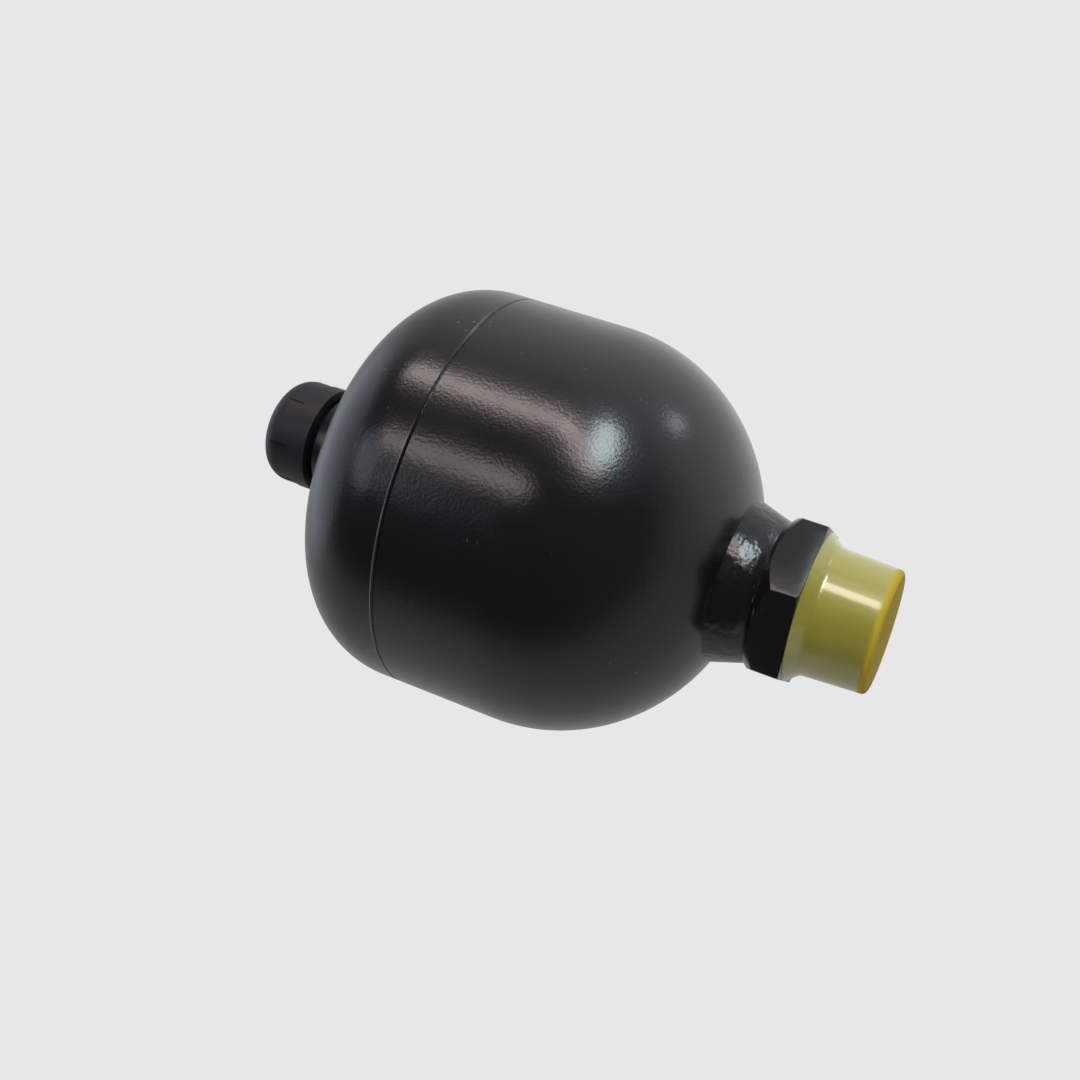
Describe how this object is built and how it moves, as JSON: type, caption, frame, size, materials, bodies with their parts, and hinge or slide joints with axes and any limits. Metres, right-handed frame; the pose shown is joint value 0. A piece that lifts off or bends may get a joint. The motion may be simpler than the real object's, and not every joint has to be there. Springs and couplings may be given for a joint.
{
  "type": "diaphragm accumulator",
  "caption": "Black welded hydraulic accumulator with a rubber diaphragm inside, hexagon fluid port under a yellow cap and gas valve under a black cap.",
  "frame": {"origin": "middle of the fluid port cap's flat end, the face that the accumulator stands on", "axes": "+Z along the axis from the fluid port up to the gas end; +Y through one corner of the spanner hexagon"},
  "size_m": [0.121, 0.121, 0.1967],
  "materials": {
    "black_paint": "gloss",
    "bare_steel": "satin",
    "zinc_steel": "satin",
    "nitrile_rubber": "matte",
    "yellow_plastic": "translucent gloss",
    "black_plastic": "matte"
  },
  "bodies": {
    "vessel": {"fluid_shell": "black_paint", "gas_shell": "black_paint", "port_fitting": "black_paint", "gas_boss": "black_paint", "charging_screw": "zinc_steel", "charging_screw_seal": "nitrile_rubber", "retaining_ring": "bare_steel", "diaphragm": "nitrile_rubber"},
    "separator": {"closing_button": "bare_steel"},
    "port_cap": {"port_cap": "yellow_plastic"},
    "gas_cap": {"gas_cap": "black_plastic"}
  },
  "joints": [
    {"name": "separator_travel", "type": "slide", "parent": "vessel", "child": "separator", "axis": [0, 0, 1], "range_m": [0, 0.09], "stiffness_N_per_m": 30, "deforming": ["diaphragm"]},
    {"name": "port_cap_removal", "type": "slide", "parent": "vessel", "child": "port_cap", "axis": [0, 0, -1], "range_m": [0, 0.05]},
    {"name": "gas_cap_removal", "type": "slide", "parent": "vessel", "child": "gas_cap", "axis": [0, 0, 1], "range_m": [0, 0.04]}
  ]
}
